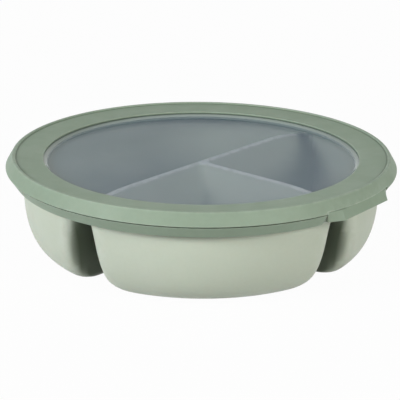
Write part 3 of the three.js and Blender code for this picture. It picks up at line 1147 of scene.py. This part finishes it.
@dataclass
class Bowl:
    """The one-piece bowl: three legs under one rim, with hollow dividers."""

    sweep: RingSweep
    materials: Materials
    sizes: BowlSizes = field(default_factory=BowlSizes)
    slab_middle: float = 20.0
    slab_steps: int = 28
    roof_rise: float = 0.3
    edge_gain: float = 0.3
    # Painted highlight along the dividers' crests.
    painted_highlight_depth: float = 1.2
    painted_highlight_gain: float = 1.8
    painted_highlight_margin: float = 1.0
    # Painted shade on the groove walls under the dividers.
    painted_shade_width: float = 1.3
    painted_shade_margin: float = 0.1

    def crest_slab(self, radius: float, low: float, high: float) -> Mesh:
        """Makes a round slab that follows the dividers' crest.

        Args:
            radius: Its radius.
            low: Its underside, from the crest.
            high: Its top, from the crest.

        Returns:
            The closed mesh.
        """
        reaches = np.concatenate([[0.0], np.linspace(self.slab_middle, radius, self.slab_steps)])
        crest = self.sizes.crest_at(reaches)
        under = [(float(r), float(z) + low) for r, z in zip(reaches, crest)]
        over = [(float(r), float(z) + high) for r, z in zip(reaches, crest)]
        return turned_disc("slab", under + over[::-1])

    def rim_outline(self) -> Outline:
        """The rim's section.

        Returns:
            Radius and height pairs.
        """
        sizes = self.sizes
        inner = sizes.bore - sizes.wall
        band = sizes.wall_radius + sizes.band_step
        bottom = sizes.curve_top + sizes.band_step
        flange_bottom = sizes.rim_top - sizes.flange_thickness
        return rounded_outline(
            [
                (inner, bottom, 0.0),
                (sizes.wall_radius - sizes.band_inset, bottom, EDGES.fine),
                (band, bottom + sizes.band_ramp, EDGES.soft),
                (band, flange_bottom - sizes.band_inset, EDGES.crown),
                (sizes.flange, flange_bottom, EDGES.hollow),
                (sizes.flange, sizes.rim_top, sizes.edge_round),
                (inner, sizes.rim_top, 0.0),
            ]
        )

    def build(self) -> Piece:
        """Makes the bowl.

        Returns:
            The bowl's object.
        """
        sizes = self.sizes
        bowl = self.sweep.ring("bowl_moulding", self.rim_outline(), self.materials.bowl)
        first = sizes.divider_angle
        far = first + 180.0
        short = far + sizes.short_turn
        sectors = [
            Sector(first, far, sizes.side_corner, sizes.side_foot),
            Sector(far, short, sizes.front_corner, sizes.front_foot),
            Sector(short, first, sizes.side_corner, sizes.side_foot),
        ]
        flat = sizes.crest_flat
        roof = self.crest_slab(sizes.bore - 0.5 * sizes.wall, -sizes.wall - 0.5 * flat, self.roof_rise)
        combined(bowl, roof, Joining.ADD)
        for sector in sectors:
            combined(bowl, Compartment(sizes, sector, True).mesh("leg"), Joining.ADD)
        for sector in sectors:
            combined(bowl, Compartment(sizes, sector, False).mesh("space"), Joining.CUT)
        headroom = self.crest_slab(sizes.rim_bore, -0.5 * flat, sizes.rim_top)
        combined(bowl, headroom, Joining.CUT)
        # Painted highlight on the crests and painted shade in the grooves.
        finish_mesh(bowl.data, self.materials.bowl, self.edge_gain, self.crests_and_grooves)
        return bowl

    def crests_and_grooves(self, places: np.ndarray) -> np.ndarray:
        """Where the dividers' crests get a painted highlight and their grooves a painted shade.

        Args:
            places: Points in millimetres.

        Returns:
            A value for each point, above 1 on a crest and -1 in a groove.
        """
        sizes = self.sizes
        x, y, height = places.T
        reach = np.hypot(x, y)
        depth = sizes.crest_at(reach) - height
        # Painted highlight: pale along each crest.
        crest = np.clip(self.painted_highlight_gain * (1.0 - depth / self.painted_highlight_depth), 0.0, self.painted_highlight_gain)
        crest = np.where(reach < sizes.bore - self.painted_highlight_margin, crest, 0.0)
        # Painted shade: dark on the groove walls under each divider.
        leg = Compartment(sizes, Sector(0.0, 90.0, 0.0, 0.0), True)
        edge = leg.half_width_at(depth - sizes.wall) + self.painted_shade_width
        groove = np.zeros(len(places))
        for turn in (0.0, 180.0, 180.0 + sizes.short_turn):
            angle = math.radians(sizes.divider_angle + turn)
            along = x * math.cos(angle) + y * math.sin(angle)
            aside = np.abs(y * math.cos(angle) - x * math.sin(angle))
            share = np.clip((edge - aside) / self.painted_shade_width, 0.0, 1.0)
            groove = np.maximum(groove, np.where(along > 0.0, share, 0.0))
        below_roof = depth > sizes.wall - self.painted_shade_margin
        groove = np.where(below_roof & (reach < sizes.wall_radius), groove, 0.0)
        return np.where(groove > 0.0, -groove, crest)

    def dress(self, bowl: Piece) -> None:
        """Puts the bowl in the place of its solid.

        Args:
            bowl: The bowl's object.
        """
        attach(bowl, Body.BOWL.value)
        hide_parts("bowl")


@dataclass
class Lid:
    """The lid: frame, clear window, seal and pull tab, in millimetres and degrees."""

    sweep: RingSweep
    materials: Materials
    bowl: BowlSizes = field(default_factory=BowlSizes)
    skirt_overhang: float = 6.5
    skirt_lean: float = 3.5
    skirt_below_rim: float = 2.6
    skirt_wall: float = 2.4
    skirt_edge: float = 0.5
    skirt_drip: float = 0.05
    seam_depth: float = 0.7
    seam_rise: float = 0.2
    # Painted shade inside the seam groove.
    seam_painted_shade: float = -1.0
    lip_height: float = 6.6
    lip_ledge: float = 0.7
    lip_wall: float = 1.4
    lip_clearance: float = 0.4
    lip_low_loop: float = 0.2
    lip_high_loop: float = 0.9
    bead_width: float = 1.4
    bead_step: float = 0.8
    bead_ramp: float = 0.3
    bead_foot_depth: float = 0.15
    # Painted shade in the crease at the bead's foot.
    bead_foot_painted_shade: float = -0.6
    line_width: float = 0.5
    line_margin: float = 0.05
    ring_dish: float = 1.0
    ring_wall: float = 1.0
    ring_edge_width: float = 0.1
    ring_edge_drop: float = 0.3
    # Painted shade on the ring's inner edge beside the window.
    ring_edge_painted_shade: float = -0.25
    plug_depth: float = 2.0
    plug_wall: float = 1.2
    plug_clearance: float = 0.4
    pane: float = 1.1
    pane_middle: float = 10.0
    window_flange: float = 8.0
    bevel_width: float = 2.0
    bevel_depth: float = 1.3
    frost_share: float = 0.3
    seal_height: float = 1.1
    seal_bead: float = 0.5
    seat_gap: float = 0.3
    crest_clearance: float = 0.4
    tab_angle: float = -37.6
    tab_face_half_angle: float = 10.6
    tab_left_ramp: float = 5.2
    tab_right_ramp: float = 2.6
    tab_overhang: float = 2.2
    tab_flare: float = 2.4
    tab_height: float = 5.2
    tab_root_rise: float = 0.8
    tab_wall: float = 1.7
    tab_levels: int = 6
    tab_round: float = 0.45
    tab_round_steps: int = 4
    tab_round_angle: float = 18.0
    tab_edge_gain: float = 0.3
    opening_turns: int = 5
    opening_reach: float = 10.0
    opening_drop: float = 2.0

    def __post_init__(self) -> None:
        """Works out the sizes that follow from the bowl's and the lid's own."""
        bowl = self.bowl
        self.plug = bowl.rim_bore - self.plug_clearance
        self.plug_bore = self.plug - self.plug_wall
        self.window = self.plug_bore - self.window_flange
        self.lip_bore = bowl.flange + self.lip_clearance
        self.lip = self.lip_bore + self.lip_wall
        self.skirt = bowl.flange + self.skirt_overhang
        self.ledge = self.skirt - self.lip_ledge
        self.skirt_top = self.skirt - self.skirt_lean
        self.bead_foot = self.skirt_top - self.bead_width - self.bead_ramp
        self.pane_bottom = bowl.crest_top + self.crest_clearance
        self.pane_top = self.pane_bottom + self.pane
        self.pocket_top = self.pane_top + self.bevel_depth + self.seat_gap
        self.window_edge = self.pocket_top + self.ring_wall
        self.ring_top = self.window_edge + self.ring_dish
        self.top = self.ring_top + self.bead_step
        self.seal_pocket = bowl.rim_top + 2.0 * self.seat_gap + self.seal_height
        self.skirt_bottom = bowl.rim_top - self.skirt_below_rim
        self.ledge_bottom = self.skirt_bottom - self.lip_ledge
        self.lip_bottom = self.skirt_bottom - self.lip_height
        self.tab_root = self.skirt_bottom + self.tab_root_rise
        self.tab_left_end = -self.tab_face_half_angle - self.tab_left_ramp
        self.tab_right_end = self.tab_face_half_angle + self.tab_right_ramp

    def frame_outline(self) -> Outline:
        """The frame's section: ring, bead, skirt, lip, seal groove and plug.

        Returns:
            Radius and height pairs.
        """
        plug_bottom = self.bowl.rim_top - self.plug_depth
        bead = self.skirt_top - self.bead_width
        under_ring = self.seal_pocket - self.seal_bead
        skirt_start = self.skirt_bottom + self.skirt_edge
        seam = self.ledge - self.seam_depth

        def on_skirt(height: float) -> Triple:
            """A plain point on the skirt's straight face, at a height."""
            share = (height - skirt_start) / (self.top - skirt_start)
            return self.skirt - self.skirt_lean * share, height, 0.0

        def on_lip(share: float) -> Triple:
            """A plain point on the lip's straight face, at a share of its way up."""
            reach = self.lip + (self.ledge - self.lip) * share
            return reach, self.lip_bottom + (self.ledge_bottom - self.lip_bottom) * share, 0.0

        def on_ring(reach: float) -> Triple:
            """A plain point on the ring's straight top, at a distance from the axis."""
            share = (reach - self.window) / (self.bead_foot - self.window)
            return reach, self.window_edge + self.ring_dish * share, 0.0

        return rounded_outline(
            [
                (self.window, self.pocket_top, EDGES.small),
                (self.plug_bore, self.pocket_top, EDGES.fine),
                (self.plug_bore, plug_bottom, EDGES.plug),
                (self.plug, plug_bottom, EDGES.plug),
                (self.plug, self.seal_pocket, EDGES.fine),
                (self.bowl.flange, self.seal_pocket, EDGES.fine),
                (self.bowl.flange, under_ring, EDGES.fine),
                (self.skirt_top - 0.5 * self.bead_width, under_ring, EDGES.ease),
                (self.skirt - self.skirt_wall, self.skirt_bottom, EDGES.hollow),
                (self.lip_bore, self.lip_bottom + 0.5 * self.skirt_wall, EDGES.soft),
                (self.lip_bore, self.lip_bottom, EDGES.soft),
                (self.lip, self.lip_bottom, EDGES.soft),
                on_lip(self.lip_low_loop),
                on_lip(self.lip_high_loop),
                (self.ledge, self.ledge_bottom, EDGES.fine),
                (seam, self.ledge_bottom, EDGES.seam),
                (seam, self.skirt_bottom - self.seam_rise, EDGES.seam),
                (self.skirt, self.skirt_bottom + self.skirt_drip, EDGES.drip),
                (self.skirt, skirt_start, EDGES.ease),
                on_skirt(self.tab_root + self.seat_gap + self.line_width),
                on_skirt(self.top - 2.0 * self.line_width),
                (self.skirt_top, self.top, EDGES.crown),
                (bead, self.top, EDGES.soft),
                (self.bead_foot, self.ring_top, EDGES.soft),
                on_ring(self.bead_foot - 2.0 * self.line_width),
                on_ring(self.window + 2.0 * self.line_width),
                (self.window, self.window_edge, EDGES.soft),
            ]
        )

    def tab_opening(self) -> Mesh:
        """Makes the body that the tab takes out of the skirt and lip.

        Returns:
            The closed mesh.
        """
        gap = self.seat_gap / self.lip
        left = math.radians(self.tab_angle + self.tab_left_end) - gap
        right = math.radians(self.tab_angle + self.tab_right_end) + gap
        turns = np.linspace(left, right, self.opening_turns)
        inner = np.stack([np.cos(turns), np.sin(turns)], axis=1) * self.bowl.flange
        outer = np.stack([np.cos(turns), np.sin(turns)], axis=1) * (self.skirt + self.opening_reach)
        ring = np.concatenate([outer, inner[::-1]])
        levels = [self.lip_bottom - self.opening_drop, self.tab_root + self.seat_gap]
        rings = np.stack([np.column_stack([ring, np.full(len(ring), level)]) for level in levels])
        return lofted_mesh("opening", rings)

    def build_frame(self) -> Piece:
        """Makes the lid's frame.

        Returns:
            The frame's object.
        """
        frame = self.sweep.ring("lid_frame_moulding", self.frame_outline(), self.materials.lid)
        combined(frame, self.tab_opening(), Joining.CUT)
        finish_mesh(frame.data, self.materials.lid, rule=self.lines_painted_shade)
        return frame

    def lines_painted_shade(self, places: np.ndarray) -> np.ndarray:
        """Where the seam, the bead's foot and the edge round the window get painted shade.

        Args:
            places: Points in millimetres.

        Returns:
            A value for each point, down to -1 at the bottom of a line.
        """
        reach = np.hypot(places[:, 0], places[:, 1])
        height = places[:, 2]
        seam = np.abs(reach - (self.ledge - self.seam_depth)) < 0.5 * self.seam_depth
        seam &= height > self.ledge_bottom - self.line_margin
        seam &= height < self.skirt_bottom + self.line_margin
        foot = np.abs(reach - self.bead_foot) < self.line_width
        foot &= np.abs(height - self.ring_top) < self.bead_foot_depth
        edge = reach < self.window + self.ring_edge_width
        edge &= height < self.window_edge - self.ring_edge_drop
        tones = [self.seam_painted_shade, self.bead_foot_painted_shade, self.ring_edge_painted_shade]
        return np.select([seam, foot, edge], tones, 0.0)

    def build_window(self) -> Piece:
        """Makes the clear window.

        Returns:
            The window's object.
        """
        edge = self.plug_bore - self.seat_gap
        bevel = self.window - self.seat_gap
        closed = rounded_outline(
            [
                (self.pane_middle, self.pane_bottom, 0.0),
                (bevel - self.bevel_width, self.pane_bottom, EDGES.bevel),
                (bevel, self.pane_bottom + self.bevel_depth, EDGES.bevel),
                (edge, self.pane_bottom + self.bevel_depth, EDGES.fine),
                (edge, self.pane_top + self.bevel_depth, EDGES.fine),
                (bevel, self.pane_top + self.bevel_depth, EDGES.bevel),
                (bevel - self.bevel_width, self.pane_top, EDGES.bevel),
                (self.pane_middle, self.pane_top, 0.0),
            ]
        )
        outline = [(0.0, self.pane_bottom), *closed, (0.0, self.pane_top)]
        window = link_mesh("lid_window_pane", turned_disc("lid_window_pane", outline))
        finish_mesh(window.data, self.materials.window, 0.0, self.bevel_frost)
        return window

    def bevel_frost(self, places: np.ndarray) -> np.ndarray:
        """Where the window's bevel is frosted.

        Args:
            places: Points in millimetres.

        Returns:
            A share for each point, 1 on the bevel.
        """
        reach = np.hypot(places[:, 0], places[:, 1])
        inner = self.window - self.seat_gap - self.bevel_width
        return np.clip((reach - inner) / (self.frost_share * self.bevel_width), 0.0, 1.0)

    def build_seal(self) -> Piece:
        """Makes the soft seal.

        Returns:
            The seal's object.
        """
        inner = self.plug + self.seat_gap
        outer = self.bowl.flange - self.seat_gap
        bottom = self.bowl.rim_top + self.seat_gap
        outline = rounded_outline(
            [
                (inner, bottom + self.seal_bead, EDGES.small),
                (inner + self.seal_bead, bottom, EDGES.ease),
                (outer - self.seal_bead, bottom, EDGES.ease),
                (outer, bottom + self.seal_bead, EDGES.small),
                (outer, bottom + self.seal_height, EDGES.small),
                (inner, bottom + self.seal_height, EDGES.small),
            ]
        )
        seal = self.sweep.ring("lid_seal_ring", outline, self.materials.seal)
        finish_mesh(seal.data, self.materials.seal)
        return seal

    def tab_ring(self, height: float) -> np.ndarray:
        """The tab's outline at a height: a straight face between two ramps that start at the lip's top.

        Args:
            height: The height.

        Returns:
            Points, shaped count by 3.
        """
        share = (self.tab_root - height) / self.tab_height
        face = self.skirt + self.tab_overhang - self.tab_flare * (1.0 - share)
        turn = self.tab_face_half_angle
        outer = [(self.ledge, self.tab_left_end), (face, -turn), (face, turn), (self.ledge, self.tab_right_end)]
        inner = [(reach - self.tab_wall, angle) for reach, angle in outer[::-1]]
        ring = []
        for reach, angle in outer + inner:
            radians = math.radians(self.tab_angle + angle)
            ring.append((reach * math.cos(radians), reach * math.sin(radians), height))
        return np.array(ring)

    def build_tab(self) -> Piece:
        """Makes the pull tab.

        Returns:
            The tab's object.
        """
        heights = np.linspace(self.tab_root - self.tab_height, self.tab_root, self.tab_levels)
        mesh = lofted_mesh("pull_tab_flap", np.stack([self.tab_ring(float(height)) for height in heights]))
        tab = link_mesh("pull_tab_flap", mesh)
        soften = tab.modifiers.new("soften", "BEVEL")
        soften.width = self.tab_round * MM
        soften.segments = self.tab_round_steps
        soften.limit_method = "ANGLE"
        soften.angle_limit = math.radians(self.tab_round_angle)
        apply_step(tab, soften)
        finish_mesh(tab.data, self.materials.lid, self.tab_edge_gain)
        return tab

    @staticmethod
    def dress(piece: Piece, node: str, body: Body, slot: Slot) -> None:
        """Puts a piece in the place of its solid.

        Args:
            piece: The piece.
            node: The solid that it stands for.
            body: The body that it moves with.
            slot: The record's slot of its finish; not used.
        """
        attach(piece, body.value)
        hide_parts(node)


@dataclass
class Studio:
    """The floor, the light and the camera, in metres and radians."""

    target: Triple = (0.0, 0.0, 0.047)
    distance: float = 0.8
    elevation: float = 0.302
    roll: float = 0.009
    focal_pixels: float = 1500.672
    image_pixels: float = 400.0
    target_pixel: tuple[float, float] = (200.517, 161.587)
    sensor_mm: float = 36.0
    nearest: float = 0.01
    farthest: float = 50.0
    lamp_target: Triple = (0.0, 0.0, 0.03)
    sky: Triple = (0.97, 0.985, 1.0)
    sky_strength: float = 0.10
    floor_half: float = 6.0
    floor_height: float = -0.0002
    floor_colour: Triple = (0.60, 0.60, 0.60)
    floor_roughness: float = 0.9
    floor_glow: float = 0.97

    def build_camera(self) -> None:
        """Makes the camera at the photograph's viewing angle."""
        centre = 0.5 * (self.image_pixels - 1.0)
        away = Vector((0.0, math.cos(self.elevation), -math.sin(self.elevation)))
        place = Vector(self.target) - self.distance * away
        pitch = self.elevation + math.atan((centre - self.target_pixel[1]) / self.focal_pixels)
        yaw = math.atan((self.target_pixel[0] - centre) / self.focal_pixels)
        look = Vector((-math.sin(yaw) * math.cos(pitch), math.cos(yaw) * math.cos(pitch), -math.sin(pitch)))
        level = look.cross(Vector((0.0, 0.0, 1.0))).normalized()
        upright = level.cross(look)
        right = math.cos(self.roll) * level + math.sin(self.roll) * upright
        upward = math.cos(self.roll) * upright - math.sin(self.roll) * level
        turn = Matrix((right, upward, -look)).transposed()
        data = bpy.data.cameras.new("camera")
        data.sensor_width = self.sensor_mm
        data.sensor_height = self.sensor_mm
        data.sensor_fit = "HORIZONTAL"
        data.lens = self.focal_pixels * self.sensor_mm / self.image_pixels
        data.clip_start = self.nearest
        data.clip_end = self.farthest
        camera = bpy.data.objects.new("camera", data)
        camera.matrix_world = Matrix.Translation(place) @ turn.to_4x4()
        bpy.context.scene.collection.objects.link(camera)
        bpy.context.scene.camera = camera

    @staticmethod
    def seen_directly(bench: NodeBench) -> Socket:
        """Adds the test for rays that show the background itself.

        Args:
            bench: The tree's bench.

        Returns:
            A socket that is 1 for camera, glossy and transmission rays.
        """
        path = bench.add("ShaderNodeLightPath", {}).outputs
        mirrored = bench.arithmetic("MAXIMUM", path["Is Camera Ray"], path["Is Glossy Ray"])
        return bench.arithmetic("MAXIMUM", mirrored, path["Is Transmission Ray"])

    def build_world(self) -> None:
        """Makes a white background with soft, even light."""
        world = bpy.data.worlds.new("studio")
        world.use_nodes = True
        bench = NodeBench(world.node_tree)
        shown = bench.tree.nodes["Background"]
        bench.fill(shown, {"Color": WHITE, "Strength": 1.0})
        lit = bench.add("ShaderNodeBackground", {"Color": self.sky, "Strength": self.sky_strength})
        seen = self.seen_directly(bench)
        bench.show("World Output", seen, lit.outputs["Background"], shown.outputs["Background"])
        bpy.context.scene.world = world

    def build_floor(self) -> None:
        """Makes the pale floor, which keeps the shadow and shows white."""
        mesh = bpy.data.meshes.new("floor")
        half, low = self.floor_half, self.floor_height
        corners = [(-half, -half, low), (half, -half, low), (half, half, low), (-half, half, low)]
        mesh.from_pydata(corners, [], [(0, 1, 2, 3)])
        floor = link_mesh("floor", mesh)
        material = bpy.data.materials.new("floor_pale")
        material.use_nodes = True
        bench = NodeBench(material.node_tree)
        shader = bench.tree.nodes["Principled BSDF"]
        bench.fill(shader, {"Base Color": self.floor_colour, "Roughness": self.floor_roughness})
        glow = bench.add("ShaderNodeEmission", {"Strength": 1.0})
        share = bench.arithmetic("MULTIPLY", self.seen_directly(bench), self.floor_glow)
        bench.show("Material Output", share, shader.outputs["BSDF"], glow.outputs["Emission"])
        mesh.materials.append(material)

    def build_light(self) -> None:
        """Hangs the lamps: a strong one at the left, a weaker one at the right, a low one at the back."""
        for lamp in LAMPS:
            data = bpy.data.lights.new(lamp.name, "AREA")
            data.size = lamp.width
            data.energy = lamp.watts
            data.color = lamp.colour
            holder = bpy.data.objects.new(lamp.name, data)
            holder.location = lamp.place
            holder.visible_glossy = lamp.mirrored
            aim = Vector(self.lamp_target) - Vector(lamp.place)
            holder.rotation_euler = aim.to_track_quat("-Z", "Y").to_euler()
            bpy.context.scene.collection.objects.link(holder)


def main() -> None:
    """Builds the studio and every piece, in order."""
    logging.basicConfig(level=logging.INFO, format="%(name)s: %(message)s")
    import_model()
    bpy.context.scene.view_settings.view_transform = "Standard"
    studio = Studio()
    studio.build_camera()
    studio.build_world()
    studio.build_floor()
    studio.build_light()
    materials = Materials()
    sweep = RingSweep()
    bowl = Bowl(sweep, materials)
    moulding = bowl.build()
    bowl.dress(moulding)
    LOG.info("bowl: %d faces", len(moulding.data.polygons))
    lid = Lid(sweep, materials)
    pieces = [
        (lid.build_frame(), "lid_frame", Body.LID, Slot.LID),
        (lid.build_window(), "lid_window", Body.LID, Slot.WINDOW),
        (lid.build_seal(), "lid_seal", Body.LID, Slot.SEAL),
        (lid.build_tab(), "pull_tab", Body.TAB, Slot.LID),
    ]
    for piece, node, body, slot in pieces:
        lid.dress(piece, node, body, slot)
        LOG.info("%s: %d faces", piece.name, len(piece.data.polygons))


if __name__ == "__main__":
    main()
